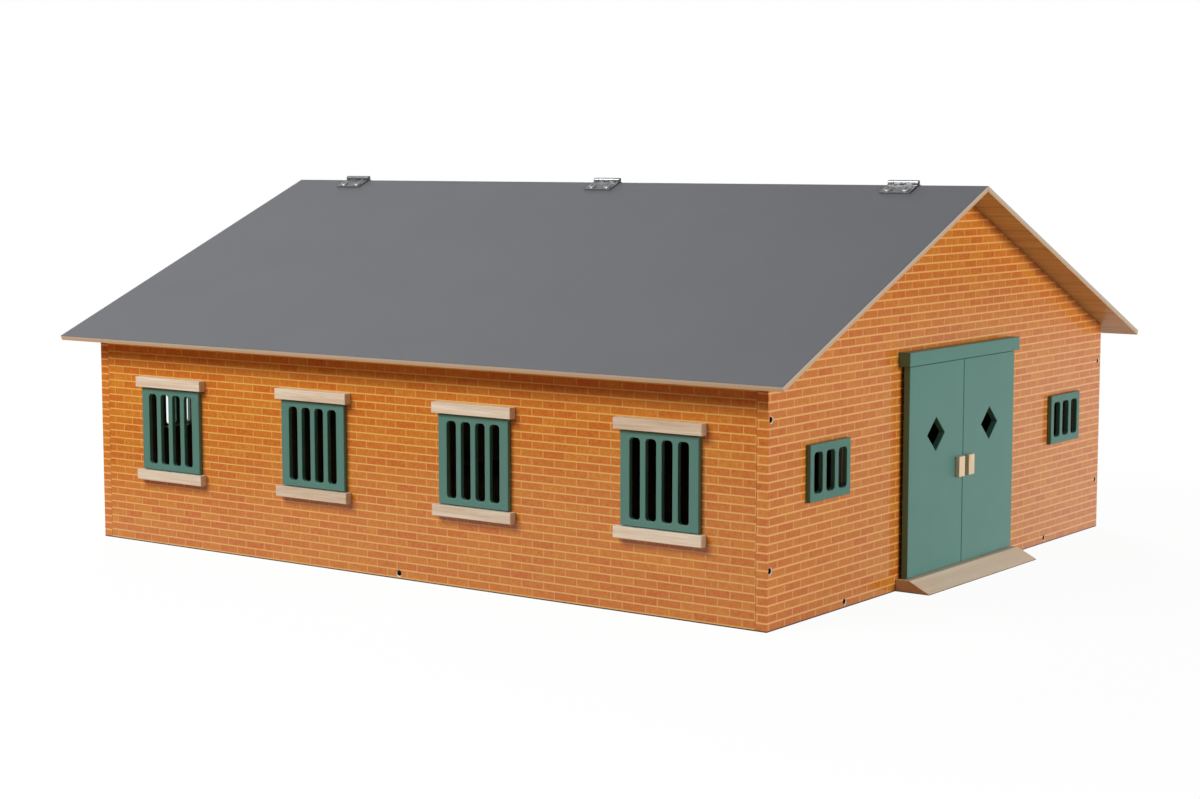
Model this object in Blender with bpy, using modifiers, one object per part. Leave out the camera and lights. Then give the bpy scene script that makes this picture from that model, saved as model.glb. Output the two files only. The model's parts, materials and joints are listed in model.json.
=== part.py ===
"""A toy stable of printed boards, with opening double doors and a roof half that folds back over the ridge.

Metres, +Z up. The long wall with four barred windows faces -Y and the gable wall with the doors faces +X. The
origin is on the ground, under the middle of the floor board.
"""

from math import cos, pi, radians, sin, tan

import bmesh
import bpy
from mathutils import Matrix, Vector

# House: boards, walls and roof
HOUSE_LENGTH = 0.6745
HOUSE_WIDTH = 0.555
WALL_HEIGHT = 0.1798
WALL_BOARD = 0.009
FLOOR_BOARD = 0.009
ROOF_PITCH = radians(23.54)
ROOF_BOARD = 0.004
GABLE_OVERHANG = 0.02525
EAVE_OVERHANG = 0.0225
MITRE_GAP = 0.0004
TOUCH_GAP = 0.0003

# Tall windows: shares of the house's length from its -X end, and one share of the wall's height
TALL_WINDOW_SHARES = (0.131, 0.372, 0.6165, 0.869)
TALL_WINDOW_UP_SHARE = 0.55
TALL_GRILLE_WIDTH = 0.0676
TALL_GRILLE_HEIGHT = 0.069
TALL_SLOTS = 4
TALL_BAR = 0.0048
TALL_STILE = 0.0082
TALL_RAIL = 0.0048
STRIP_LENGTH = 0.0765
STRIP_HEIGHT = 0.0085
STRIP_DEPTH = 0.0067
STRIP_GAP = 0.0007

# Small windows in both gable walls, each inset from the wall's side edge
SMALL_WINDOW_UP_SHARE = 0.586
SMALL_WINDOW_INSET = 0.079
FAR_WINDOW_INSET = 0.0802
SMALL_GRILLE_WIDTH = 0.0566
SMALL_GRILLE_HEIGHT = 0.0413
SMALL_SLOTS = 3
SMALL_BAR = 0.0052
SMALL_STILE = 0.0053
SMALL_RAIL = 0.0059

# All grilles, and how far they lap onto the wall around the hole behind them
GRILLE_BOARD = 0.0036
SLOT_CORNER = 0.003
TALL_GRILLE_LAP = 0.0017
SMALL_GRILLE_LAP = 0.0045

# Doors, with the header over them and the ramp under them
DOOR_WIDTH = 0.0882
DOOR_HEIGHT = 0.161
DOOR_BOARD = 0.005
DOOR_MEETING_GAP = 0.0008
DOOR_FOOT_GAP = 0.0006
DOOR_HEAD_GAP = 0.0008
DOOR_WALL_GAP = 0.0026
DOORWAY_LAP = 0.008
DIAMOND_WIDTH = 0.0287
DIAMOND_HEIGHT = 0.0264
HEADER_HEIGHT = 0.0105
HEADER_DEPTH = 0.0097
HEADER_OVERRUN = 0.0044
RAMP_DEPTH = 0.0282
RAMP_FLAT = 0.0114
RAMP_TOE = 0.0006
HANDLE_WIDTH = 0.0095
HANDLE_HEIGHT = 0.016
HANDLE_DEPTH = 0.0036
HANDLE_INSET = 0.003

# Places on a door: shares of its width from the meeting edge, and of its height from the foot
DIAMOND_ACROSS_SHARE = 0.509
DIAMOND_UP_SHARE = 0.661
HANDLE_UP_SHARE = 0.48

# Steel pins that the doors turn on, in blind holes
DOOR_PIN_RADIUS = 0.001
DOOR_PIN_INSET = 0.0035
DOOR_PIN_DEPTH = 0.006
SOCKET_DEPTH = 0.005
PIN_CLEARANCE = 0.00006
PIN_CHAMFER = 0.0002

# Butt hinges across the ridge: one in the middle and one near each end
HINGE_INSET = 0.0735
HINGE_LENGTH = 0.0272
KNUCKLES = 5
KNUCKLE_GAP = 0.0003
BARREL_RADIUS = 0.0018
LEAF_WIDTH = 0.0175
LEAF_THICKNESS = 0.0009
LEAF_TUCK = 0.0001
LEAF_CLEARANCE = 0.0004
HINGE_PIN_RADIUS = 0.0008
HINGE_PIN_OVERRUN = 0.0003
SCREW_HOLE_RADIUS = 0.0014
SCREW_SPACING = 0.016
SCREW_EDGE = 0.0055

# Pockets in the walls for the countersunk screws that hold the boards together
POCKET_RADIUS = 0.0022
POCKET_DEPTH = 0.003
COUNTERSINK = 0.0009
SCREW_UP_SHARES = (0.237, 0.824)
FLOOR_SCREW_SHARE = 0.61

# Modelling values
EASED_EDGE = 0.0004
CUT_OVERRUN = 0.001
MERGE_DISTANCE = 0.000005
CORNER_STEPS = 4
BARREL_SIDES = 24
PIN_SIDES = 16
POCKET_SIDES = 16
SHARP_ANGLE = radians(35)

# Places that follow from the sizes
half_length = HOUSE_LENGTH / 2
half_width = HOUSE_WIDTH / 2
inner_half_length = half_length - WALL_BOARD - TOUCH_GAP
inner_half_width = half_width - WALL_BOARD - TOUCH_GAP
roof_half_length = half_length + GABLE_OVERHANG
roof_underside_apex = WALL_HEIGHT + TOUCH_GAP + half_width * tan(ROOF_PITCH)
roof_top_apex = roof_underside_apex + ROOF_BOARD / cos(ROOF_PITCH)
leaf_seat = BARREL_RADIUS - LEAF_TUCK
ridge_axis_height = roof_top_apex + (leaf_seat + TOUCH_GAP) / cos(ROOF_PITCH)
tall_window_height = WALL_HEIGHT * TALL_WINDOW_UP_SHARE
small_window_height = WALL_HEIGHT * SMALL_WINDOW_UP_SHARE
small_window_place = half_width - SMALL_WINDOW_INSET
far_window_place = half_width - FAR_WINDOW_INSET
door_foot = FLOOR_BOARD + DOOR_FOOT_GAP
door_head = door_foot + DOOR_HEIGHT
header_foot = door_head + DOOR_HEAD_GAP
door_outer_edge = DOOR_MEETING_GAP / 2 + DOOR_WIDTH
door_pin_place = door_outer_edge - DOOR_PIN_INSET
door_plane = half_length + DOOR_WALL_GAP + DOOR_BOARD / 2
header_length = 2 * (door_outer_edge + HEADER_OVERRUN)

# Rotations for a board drawn in local XY with its face along local +Z: the face then points to the named side
TO_FRONT = (pi / 2, 0, 0)
TO_REAR = (pi / 2, 0, pi)
TO_DOORS = (pi / 2, 0, pi / 2)
TO_FAR_GABLE = (pi / 2, 0, -pi / 2)

# Finishes: linear colour, roughness, metallic
FINISHES = {
    "brick_print": ((0.63, 0.19, 0.05), 0.55, 0.0),
    "bare_board": ((0.42, 0.30, 0.19), 0.8, 0.0),
    "grey_paint": ((0.19, 0.19, 0.20), 0.55, 0.0),
    "green_paint": ((0.12, 0.27, 0.22), 0.45, 0.0),
    "pale_wood": ((0.75, 0.60, 0.46), 0.65, 0.0),
    "ramp_wood": ((0.55, 0.44, 0.31), 0.75, 0.0),
    "steel": ((0.62, 0.62, 0.60), 0.22, 1.0),
}


def clear_scene():
    for obj in list(bpy.data.objects):
        bpy.data.objects.remove(obj, do_unlink=True)


def new_collection(name):
    collection = bpy.data.collections.new(name)
    bpy.context.scene.collection.children.link(collection)
    return collection


def new_material(name, finish):
    """One Principled material for one piece."""
    colour, roughness, metallic = FINISHES[finish]
    material = bpy.data.materials.new(name)
    material.use_nodes = True
    shader = material.node_tree.nodes["Principled BSDF"]
    shader.inputs["Base Color"].default_value = (*colour, 1)
    shader.inputs["Roughness"].default_value = roughness
    shader.inputs["Metallic"].default_value = metallic
    return material


def add_piece(name, mesh, finish, location=(0, 0, 0), rotation=(0, 0, 0), carrier=None):
    """Puts a mesh into the model. Equal pieces share a mesh, so each keeps its material on itself.
    A carrier is an unrotated empty on a joint's axis."""
    obj = bpy.data.objects.new(name, mesh)
    pieces.objects.link(obj)
    if len(mesh.materials) == 0:
        mesh.materials.append(None)
    obj.material_slots[0].link = "OBJECT"
    obj.material_slots[0].material = new_material(name, finish)
    obj.location = location
    obj.rotation_euler = rotation
    if carrier is not None:
        obj.parent = carrier
        obj.location = Vector(location) - carrier.location
    return obj


def add_axis(name, location):
    """An empty on a joint's axis, which carries what turns there."""
    axis = bpy.data.objects.new(name, None)
    pieces.objects.link(axis)
    axis.location = location
    return axis


def add_tool(name, mesh, location=(0, 0, 0), rotation=(0, 0, 0)):
    """A shape that cuts or joins another one and isn't part of the model."""
    tool = bpy.data.objects.new(name, mesh)
    tools.objects.link(tool)
    tool.hide_render = True
    tool.display_type = "WIRE"
    tool.location = location
    tool.rotation_euler = rotation
    return tool


def combine(obj, tool, operation):
    modifier = obj.modifiers.new(tool.name, "BOOLEAN")
    modifier.operation = operation
    modifier.object = tool
    modifier.solver = "EXACT"


def finished_mesh(obj):
    """The mesh of an object with its modifiers applied."""
    bpy.context.view_layer.update()
    evaluated = obj.evaluated_get(bpy.context.evaluated_depsgraph_get())
    return bpy.data.meshes.new_from_object(evaluated)


def shade_round(mesh):
    """Smooth shading on what is round, with every corner sharper than the named angle kept crisp."""
    mesh.shade_smooth()
    mesh.set_sharp_from_angle(angle=SHARP_ANGLE)


def rectangle(width, height, centre=(0, 0)):
    u, v = centre
    corners = ((-1, -1), (1, -1), (1, 1), (-1, 1))
    return [(u + width / 2 * across, v + height / 2 * up) for across, up in corners]


def diamond(width, height, centre):
    u, v = centre
    return [(u, v - height / 2), (u + width / 2, v), (u, v + height / 2), (u - width / 2, v)]


def rounded_slot(width, height, centre):
    """An upright slot with rounded corners."""
    u, v = centre
    points = []
    for corner, (across, up) in enumerate(((1, 1), (-1, 1), (-1, -1), (1, -1))):
        middle_u = u + across * (width / 2 - SLOT_CORNER)
        middle_v = v + up * (height / 2 - SLOT_CORNER)
        for step in range(CORNER_STEPS + 1):
            angle = pi / 2 * (corner + step / CORNER_STEPS)
            points.append((middle_u + SLOT_CORNER * cos(angle), middle_v + SLOT_CORNER * sin(angle)))
    return points


def circle(radius, centre):
    u, v = centre
    turns = [2 * pi * side / PIN_SIDES for side in range(PIN_SIDES)]
    return [(u + radius * cos(turn), v + radius * sin(turn)) for turn in turns]


def is_front_rim(edge):
    """True where the front face, whose normal is local +Z, meets a side wall."""
    facing = [face.normal.z > abs(face.normal.x) + abs(face.normal.y) for face in edge.link_faces]
    return any(facing) and not all(facing)


def board_mesh(name, outlines, thickness, eased=False):
    """A board of one outer outline and any holes, centred on local Z. Eased rounds the rims of its face."""
    curve = bpy.data.curves.new(name, "CURVE")
    curve.dimensions = "2D"
    curve.fill_mode = "BOTH"
    curve.extrude = thickness / 2
    for outline in outlines:
        spline = curve.splines.new("POLY")
        spline.points.add(len(outline) - 1)
        spline.use_cyclic_u = True
        for point, (u, v) in zip(spline.points, outline):
            point.co = (u, v, 0, 1)
    drawing = bpy.data.objects.new(name, curve)
    tools.objects.link(drawing)
    mesh = finished_mesh(drawing)
    mesh.name = name
    bpy.data.objects.remove(drawing, do_unlink=True)

    shape = bmesh.new()
    shape.from_mesh(mesh)
    bmesh.ops.remove_doubles(shape, verts=shape.verts, dist=MERGE_DISTANCE)
    bmesh.ops.dissolve_limit(shape, angle_limit=radians(1), verts=shape.verts, edges=shape.edges)
    bmesh.ops.recalc_face_normals(shape, faces=shape.faces)
    if eased:
        rims = [edge for edge in shape.edges if is_front_rim(edge)]
        bmesh.ops.bevel(
            shape,
            geom=rims,
            offset=EASED_EDGE,
            offset_type="OFFSET",
            segments=2,
            profile=0.5,
            affect="EDGES",
        )
    shape.to_mesh(mesh)
    shape.free()
    shade_round(mesh)
    return mesh


def cylinder_mesh(name, radius, length, sides, along="Z", places=(0,)):
    """Closed cylinders on local Z or X, one at each place along that axis."""
    turn = Matrix.Rotation(pi / 2, 4, "Y") if along == "X" else Matrix.Identity(4)
    shape = bmesh.new()
    for place in places:
        bmesh.ops.create_cone(
            shape,
            cap_ends=True,
            segments=sides,
            radius1=radius,
            radius2=radius,
            depth=length,
            matrix=turn @ Matrix.Translation((0, 0, place)),
        )
    mesh = bpy.data.meshes.new(name)
    shape.to_mesh(mesh)
    shape.free()
    return mesh


def box_mesh(name, size, places):
    """Equal boxes, one at each place along local X."""
    shape = bmesh.new()
    for place in places:
        matrix = Matrix.Translation((place, 0, 0)) @ Matrix.Diagonal((*size, 1))
        bmesh.ops.create_cube(shape, size=1, matrix=matrix)
    mesh = bpy.data.meshes.new(name)
    shape.to_mesh(mesh)
    shape.free()
    return mesh


def turned_mesh(name, profile, sides):
    """A half profile of (radius, height) points from the top down, spun about local Z."""
    line = bpy.data.meshes.new(name)
    points = [(out, 0, up) for out, up in profile]
    line.from_pydata(points, [(first, first + 1) for first in range(len(points) - 1)], [])
    blank = add_tool(name, line)
    screw = blank.modifiers.new("Turned", "SCREW")
    screw.axis = "Z"
    screw.steps = sides
    screw.render_steps = sides
    screw.use_merge_vertices = True
    screw.merge_threshold = MERGE_DISTANCE
    mesh = finished_mesh(blank)
    bpy.data.objects.remove(blank, do_unlink=True)
    shade_round(mesh)
    return mesh


def pin_mesh(name, radius, length):
    """A pin along local Z with chamfered ends."""
    end = length / 2
    profile = [
        (0, end),
        (radius - PIN_CHAMFER, end),
        (radius, end - PIN_CHAMFER),
        (radius, PIN_CHAMFER - end),
        (radius - PIN_CHAMFER, -end),
        (0, -end),
    ]
    return turned_mesh(name, profile, PIN_SIDES)


def pocket_mesh():
    """The cutter for a screw's pocket: a cone at the wall's face, at local Z zero, and a round bore below."""
    mouth = POCKET_RADIUS + COUNTERSINK
    profile = [
        (0, CUT_OVERRUN),
        (mouth + CUT_OVERRUN, CUT_OVERRUN),
        (POCKET_RADIUS, -COUNTERSINK),
        (POCKET_RADIUS, -POCKET_DEPTH),
        (0, -POCKET_DEPTH),
    ]
    return turned_mesh("screw_pocket", profile, POCKET_SIDES)


def add_floor():
    mesh = board_mesh("floor_board", [rectangle(2 * inner_half_length, 2 * inner_half_width)], FLOOR_BOARD)
    add_piece("floor_board", mesh, "bare_board", (0, 0, FLOOR_BOARD / 2))


def tall_window_places():
    return [HOUSE_LENGTH * share - half_length for share in TALL_WINDOW_SHARES]


def small_window_holes(place):
    """The two holes behind the grilles of a gable wall, at this distance from its middle."""
    width = SMALL_GRILLE_WIDTH - 2 * SMALL_GRILLE_LAP
    height = SMALL_GRILLE_HEIGHT - 2 * SMALL_GRILLE_LAP
    return [rectangle(width, height, (across, small_window_height)) for across in (-place, place)]


def cut_screw_pocket(wall, number, place, rotation):
    """A pocket in a wall's outer face for the head of a countersunk screw."""
    combine(wall, add_tool(f"{wall.name}_pocket_{number}", pocket_mesh(), place, rotation), "DIFFERENCE")


def add_long_walls():
    """Two square-topped boards between the gable boards, each screwed to the floor board's edge in its
    middle. Only the front one has windows."""
    outline = rectangle(2 * inner_half_length, WALL_HEIGHT, (0, WALL_HEIGHT / 2))
    hole_width = TALL_GRILLE_WIDTH - 2 * TALL_GRILLE_LAP
    hole_height = TALL_GRILLE_HEIGHT - 2 * TALL_GRILLE_LAP
    holes = [
        rectangle(hole_width, hole_height, (place, tall_window_height))
        for place in tall_window_places()
    ]
    for name, side, turn, openings in (("front_wall", -1, TO_FRONT, holes), ("rear_wall", 1, TO_REAR, [])):
        mesh = board_mesh(name, [outline] + openings, WALL_BOARD)
        wall = add_piece(name, mesh, "brick_print", (0, side * (half_width - WALL_BOARD / 2), 0), turn)
        cut_screw_pocket(wall, 1, (0, side * half_width, FLOOR_BOARD / 2), turn)


def cut_gable_pockets(wall, side, turn):
    """Two screws into the end of each long wall, and two into the floor board's edge."""
    long_wall_middle = half_width - WALL_BOARD / 2
    heights = [WALL_HEIGHT * share for share in SCREW_UP_SHARES]
    places = [(end * long_wall_middle, height) for end in (-1, 1) for height in heights]
    places += [(end * FLOOR_SCREW_SHARE * half_width, FLOOR_BOARD / 2) for end in (-1, 1)]
    for number, (across, height) in enumerate(places, start=1):
        cut_screw_pocket(wall, number, (side * half_length, across, height), turn)


def add_gable_walls():
    """The gable boards cover the ends of the long walls. The doorway starts at the top of the floor."""
    apex = WALL_HEIGHT + half_width * tan(ROOF_PITCH)
    outline = [
        (-half_width, 0),
        (half_width, 0),
        (half_width, WALL_HEIGHT),
        (0, apex),
        (-half_width, WALL_HEIGHT),
    ]
    doorway_head = door_head - DOORWAY_LAP
    doorway = rectangle(
        2 * (door_outer_edge - DOORWAY_LAP),
        doorway_head - FLOOR_BOARD,
        (0, (doorway_head + FLOOR_BOARD) / 2),
    )
    door_openings = [doorway] + small_window_holes(small_window_place)
    far_openings = small_window_holes(far_window_place)
    for name, side, turn, openings in (
        ("door_gable_wall", 1, TO_DOORS, door_openings),
        ("far_gable_wall", -1, TO_FAR_GABLE, far_openings),
    ):
        mesh = board_mesh(name, [outline] + openings, WALL_BOARD)
        wall = add_piece(name, mesh, "brick_print", (side * (half_length - WALL_BOARD / 2), 0, 0), turn)
        cut_gable_pockets(wall, side, turn)


def grille_mesh(name, width, height, slots, bar, stile, rail):
    """A thin board with a row of slots between its stiles, and a bar between each two."""
    slot_width = (width - 2 * stile - (slots - 1) * bar) / slots
    pitch = slot_width + bar
    middles = [(slot - (slots - 1) / 2) * pitch for slot in range(slots)]
    holes = [rounded_slot(slot_width, height - 2 * rail, (middle, 0)) for middle in middles]
    return board_mesh(name, [rectangle(width, height)] + holes, GRILLE_BOARD, eased=True)


def add_front_windows():
    """A grille on the face of the wall, between a lintel and a sill that stand further out."""
    grille = grille_mesh(
        "tall_grille",
        TALL_GRILLE_WIDTH,
        TALL_GRILLE_HEIGHT,
        TALL_SLOTS,
        TALL_BAR,
        TALL_STILE,
        TALL_RAIL,
    )
    strip = board_mesh("strip", [rectangle(STRIP_LENGTH, STRIP_HEIGHT)], STRIP_DEPTH, eased=True)
    face = -half_width - TOUCH_GAP
    strip_rise = TALL_GRILLE_HEIGHT / 2 + STRIP_GAP + STRIP_HEIGHT / 2
    for number, place in enumerate(tall_window_places(), start=1):
        at_grille = (place, face - GRILLE_BOARD / 2, tall_window_height)
        at_lintel = (place, face - STRIP_DEPTH / 2, tall_window_height + strip_rise)
        at_sill = (place, face - STRIP_DEPTH / 2, tall_window_height - strip_rise)
        add_piece(f"front_window_{number}_grille", grille, "green_paint", at_grille, TO_FRONT)
        add_piece(f"front_window_{number}_lintel", strip, "pale_wood", at_lintel, TO_FRONT)
        add_piece(f"front_window_{number}_sill", strip, "pale_wood", at_sill, TO_FRONT)


def add_gable_windows():
    grille = grille_mesh(
        "small_grille",
        SMALL_GRILLE_WIDTH,
        SMALL_GRILLE_HEIGHT,
        SMALL_SLOTS,
        SMALL_BAR,
        SMALL_STILE,
        SMALL_RAIL,
    )
    out = half_length + TOUCH_GAP + GRILLE_BOARD / 2
    for gable, side, turn, window_place in (
        ("door_gable", 1, TO_DOORS, small_window_place),
        ("far_gable", -1, TO_FAR_GABLE, far_window_place),
    ):
        for end, across in (("front", -1), ("rear", 1)):
            place = (side * out, across * window_place, small_window_height)
            add_piece(f"{gable}_{end}_grille", grille, "green_paint", place, turn)


def cut_pin_hole(obj, name, side, mouth, depth, direction):
    """A blind hole for a door pin, from its mouth up (direction 1) or down (direction -1)."""
    length = depth + TOUCH_GAP + CUT_OVERRUN
    mesh = cylinder_mesh(name, DOOR_PIN_RADIUS + PIN_CLEARANCE, length, PIN_SIDES)
    middle = mouth + direction * (length / 2 - CUT_OVERRUN)
    combine(obj, add_tool(name, mesh, (door_plane, side * door_pin_place, middle)), "DIFFERENCE")


def add_header():
    """The batten over the doors, with a hole in its underside for each top pin."""
    mesh = board_mesh("door_header", [rectangle(header_length, HEADER_HEIGHT)], HEADER_DEPTH, eased=True)
    place = (half_length + TOUCH_GAP + HEADER_DEPTH / 2, 0, header_foot + HEADER_HEIGHT / 2)
    header = add_piece("door_header", mesh, "green_paint", place, TO_DOORS)
    for label, side in (("left", -1), ("right", 1)):
        cut_pin_hole(header, f"{label}_header_hole", side, header_foot, SOCKET_DEPTH, 1)


def add_ramp():
    """A wedge with a flat at the floor's height under the doors, which holds the bottom pins."""
    outline = [(0, 0), (RAMP_DEPTH, 0), (RAMP_DEPTH, RAMP_TOE), (RAMP_FLAT, FLOOR_BOARD), (0, FLOOR_BOARD)]
    mesh = board_mesh("door_ramp", [outline], header_length)
    ramp = add_piece("door_ramp", mesh, "ramp_wood", (half_length + TOUCH_GAP, 0, 0), TO_FRONT)
    for label, side in (("left", -1), ("right", 1)):
        cut_pin_hole(ramp, f"{label}_ramp_hole", side, FLOOR_BOARD, SOCKET_DEPTH, -1)


def add_door(label, side):
    """A door that swings outward on a pin at its head and one at its foot, with a block handle."""
    axis = add_axis(f"{label}_door_axis", (door_plane, side * door_pin_place, door_foot))
    across = side * DOOR_WIDTH * (DIAMOND_ACROSS_SHARE - 1 / 2)
    up = DOOR_HEIGHT * (DIAMOND_UP_SHARE - 1 / 2)
    outlines = [rectangle(DOOR_WIDTH, DOOR_HEIGHT), diamond(DIAMOND_WIDTH, DIAMOND_HEIGHT, (across, up))]
    mesh = board_mesh(f"{label}_door", outlines, DOOR_BOARD, eased=True)
    place = (door_plane, side * (DOOR_MEETING_GAP + DOOR_WIDTH) / 2, door_foot + DOOR_HEIGHT / 2)
    door = add_piece(f"{label}_door", mesh, "green_paint", place, TO_DOORS, axis)
    cut_pin_hole(door, f"{label}_door_foot_hole", side, door_foot, DOOR_PIN_DEPTH, 1)
    cut_pin_hole(door, f"{label}_door_head_hole", side, door_head, DOOR_PIN_DEPTH, -1)

    pin_ends = (
        ("bottom", FLOOR_BOARD - SOCKET_DEPTH, door_foot + DOOR_PIN_DEPTH),
        ("top", door_head - DOOR_PIN_DEPTH, header_foot + SOCKET_DEPTH),
    )
    for end, low, high in pin_ends:
        pin = pin_mesh(f"{label}_door_{end}_pin", DOOR_PIN_RADIUS, high - low)
        middle = (door_plane, side * door_pin_place, (low + high) / 2)
        add_piece(f"{label}_door_{end}_pin", pin, "steel", middle, carrier=axis)

    handle = board_mesh(f"{label}_handle", [rectangle(HANDLE_WIDTH, HANDLE_HEIGHT)], HANDLE_DEPTH, eased=True)
    at_handle = (
        door_plane + DOOR_BOARD / 2 + TOUCH_GAP + HANDLE_DEPTH / 2,
        side * (DOOR_MEETING_GAP / 2 + HANDLE_INSET + HANDLE_WIDTH / 2),
        door_foot + DOOR_HEIGHT * HANDLE_UP_SHARE,
    )
    add_piece(f"{label}_handle", handle, "pale_wood", at_handle, TO_DOORS, axis)


def roof_section(side):
    """One roof half in (Y, Z), measured from the hinge axis: mitred at the ridge and square at the eave."""
    fall = tan(ROOF_PITCH)
    mitre = MITRE_GAP / 2
    reach = half_width + EAVE_OVERHANG
    top = roof_top_apex - ridge_axis_height
    underside = roof_underside_apex - ridge_axis_height
    eave_top = (reach, top - reach * fall)
    eave_bottom = (reach - ROOF_BOARD * sin(ROOF_PITCH), eave_top[1] - ROOF_BOARD * cos(ROOF_PITCH))
    section = [(mitre, top - mitre * fall), eave_top, eave_bottom, (mitre, underside - mitre * fall)]
    return [(side * across, height) for across, height in section]


def add_roof(ridge_axis):
    for name, side, carrier in (("front_roof_half", -1, ridge_axis), ("rear_roof_half", 1, None)):
        mesh = board_mesh(name, [roof_section(side)], 2 * roof_half_length)
        add_piece(name, mesh, "grey_paint", (0, 0, ridge_axis_height), TO_DOORS, carrier)


def knuckle_middles(first_knuckle):
    """The middles of every second knuckle along the hinge, from the hinge's own middle."""
    return [
        HINGE_LENGTH * ((knuckle + 1 / 2) / KNUCKLES - 1 / 2)
        for knuckle in range(first_knuckle, KNUCKLES, 2)
    ]


def hinge_leaf_mesh(name, first_knuckle):
    """A leaf in local XY with the pin along X: a plate notched for the other leaf's knuckles, its own
    knuckles on the fingers between the notches, and the pin's bore through them."""
    screw_row = LEAF_WIDTH - SCREW_EDGE
    holes = [circle(SCREW_HOLE_RADIUS, (side * SCREW_SPACING / 2, screw_row)) for side in (-1, 1)]
    outline = rectangle(HINGE_LENGTH, LEAF_WIDTH, (0, LEAF_WIDTH / 2))
    plate_mesh = board_mesh(name, [outline] + holes, LEAF_THICKNESS)
    plate_mesh.transform(Matrix.Translation((0, 0, LEAF_THICKNESS / 2 - leaf_seat)))
    plate = add_tool(name, plate_mesh)

    pitch = HINGE_LENGTH / KNUCKLES
    notch_depth = BARREL_RADIUS + LEAF_CLEARANCE
    notch_size = (pitch + 2 * KNUCKLE_GAP, 2 * notch_depth, 2 * (BARREL_RADIUS + CUT_OVERRUN))
    notches = add_tool(f"{name}_notches", box_mesh("notches", notch_size, knuckle_middles(1 - first_knuckle)))
    own_places = knuckle_middles(first_knuckle)
    own = cylinder_mesh("knuckles", BARREL_RADIUS, pitch - KNUCKLE_GAP, BARREL_SIDES, "X", own_places)
    knuckles = add_tool(f"{name}_knuckles", own)
    bore_length = HINGE_LENGTH + 2 * CUT_OVERRUN
    bore = add_tool(
        f"{name}_bore", cylinder_mesh("bore", HINGE_PIN_RADIUS + PIN_CLEARANCE, bore_length, PIN_SIDES, "X")
    )
    combine(plate, notches, "DIFFERENCE")
    combine(plate, knuckles, "UNION")
    combine(plate, bore, "DIFFERENCE")
    mesh = finished_mesh(plate)
    for tool in (plate, notches, knuckles, bore):
        bpy.data.objects.remove(tool, do_unlink=True)
    shade_round(mesh)
    return mesh


def add_hinges(ridge_axis):
    """Three butt hinges bent back over the ridge, each a leaf on either roof half and a pin through both."""
    fixed_mesh = hinge_leaf_mesh("fixed_leaf", 0)
    moving_mesh = hinge_leaf_mesh("moving_leaf", 1)
    pin = pin_mesh("hinge_pin", HINGE_PIN_RADIUS, HINGE_LENGTH + 2 * HINGE_PIN_OVERRUN)
    end_place = roof_half_length - HINGE_INSET
    for label, place in (("far", -end_place), ("middle", 0), ("near", end_place)):
        centre = (place, 0, ridge_axis_height)
        add_piece(f"{label}_hinge_rear_leaf", fixed_mesh, "steel", centre, (-ROOF_PITCH, 0, 0))
        add_piece(f"{label}_hinge_front_leaf", moving_mesh, "steel", centre, (-ROOF_PITCH, 0, pi), ridge_axis)
        add_piece(f"{label}_hinge_pin", pin, "steel", centre, (0, pi / 2, 0))


clear_scene()
pieces = new_collection("toy_stable")
tools = new_collection("tools")
add_floor()
add_long_walls()
add_gable_walls()
add_front_windows()
add_gable_windows()
add_header()
add_ramp()
add_door("left", -1)
add_door("right", 1)
roof_axis = add_axis("ridge_axis", (0, 0, ridge_axis_height))
add_roof(roof_axis)
add_hinges(roof_axis)
print("pieces:", sum(1 for obj in pieces.objects if obj.type == "MESH"))
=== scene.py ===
# %% [markdown]
# This is a toy stable: fibreboard walls with a brick print, a grey roof in two halves with hinges along the
# ridge, barred windows and green double doors. The construction model already has every piece at its real
# size, so this script only dresses it with finishes, screws, light and a camera. Loading the model first
# gives each later step real places to measure from.

import json
import math

import bmesh
import bpy
from mathutils import Matrix, Vector


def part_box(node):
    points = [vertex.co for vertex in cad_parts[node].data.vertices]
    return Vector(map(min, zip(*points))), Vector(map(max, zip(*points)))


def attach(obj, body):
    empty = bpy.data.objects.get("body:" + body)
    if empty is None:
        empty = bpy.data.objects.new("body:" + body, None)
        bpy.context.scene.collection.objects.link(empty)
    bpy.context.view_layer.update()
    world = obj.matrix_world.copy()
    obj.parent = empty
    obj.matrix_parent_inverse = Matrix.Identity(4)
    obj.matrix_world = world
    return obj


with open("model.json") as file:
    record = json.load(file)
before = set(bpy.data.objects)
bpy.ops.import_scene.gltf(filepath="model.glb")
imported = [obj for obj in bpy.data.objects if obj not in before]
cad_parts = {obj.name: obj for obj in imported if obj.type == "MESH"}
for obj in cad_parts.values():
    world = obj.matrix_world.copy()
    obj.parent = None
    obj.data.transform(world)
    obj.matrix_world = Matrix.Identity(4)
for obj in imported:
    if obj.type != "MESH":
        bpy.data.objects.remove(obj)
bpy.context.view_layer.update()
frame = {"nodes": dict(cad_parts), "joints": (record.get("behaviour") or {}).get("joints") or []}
nodes = frame["nodes"]
print("pieces in the construction model:", len(nodes))

# %% [markdown]
# Makers give sizes in millimetres and paint in screen colours, while Blender wants metres and linear light.
# One constant and one function do both conversions. Writing the colours as they look on a screen keeps them
# easy to compare with the toy, and turning them to linear in one place means that no finish forgets it.

# %% Millimetres and colours
MM = 0.001


def linear(screen_colour):
    """Turn a screen colour such as 'd2641e' into the linear red, green, blue and alpha of a shader."""
    channels = [int(screen_colour[digit : digit + 2], 16) / 255 for digit in (0, 2, 4)]
    light = [c / 12.92 if c <= 0.04045 else ((c + 0.055) / 1.055) ** 2.4 for c in channels]
    return (*light, 1.0)


WHITE = linear("ffffff")
BLACK = linear("000000")
print("brick orange in linear light:", [round(c, 3) for c in linear("d2641e")])

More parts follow.
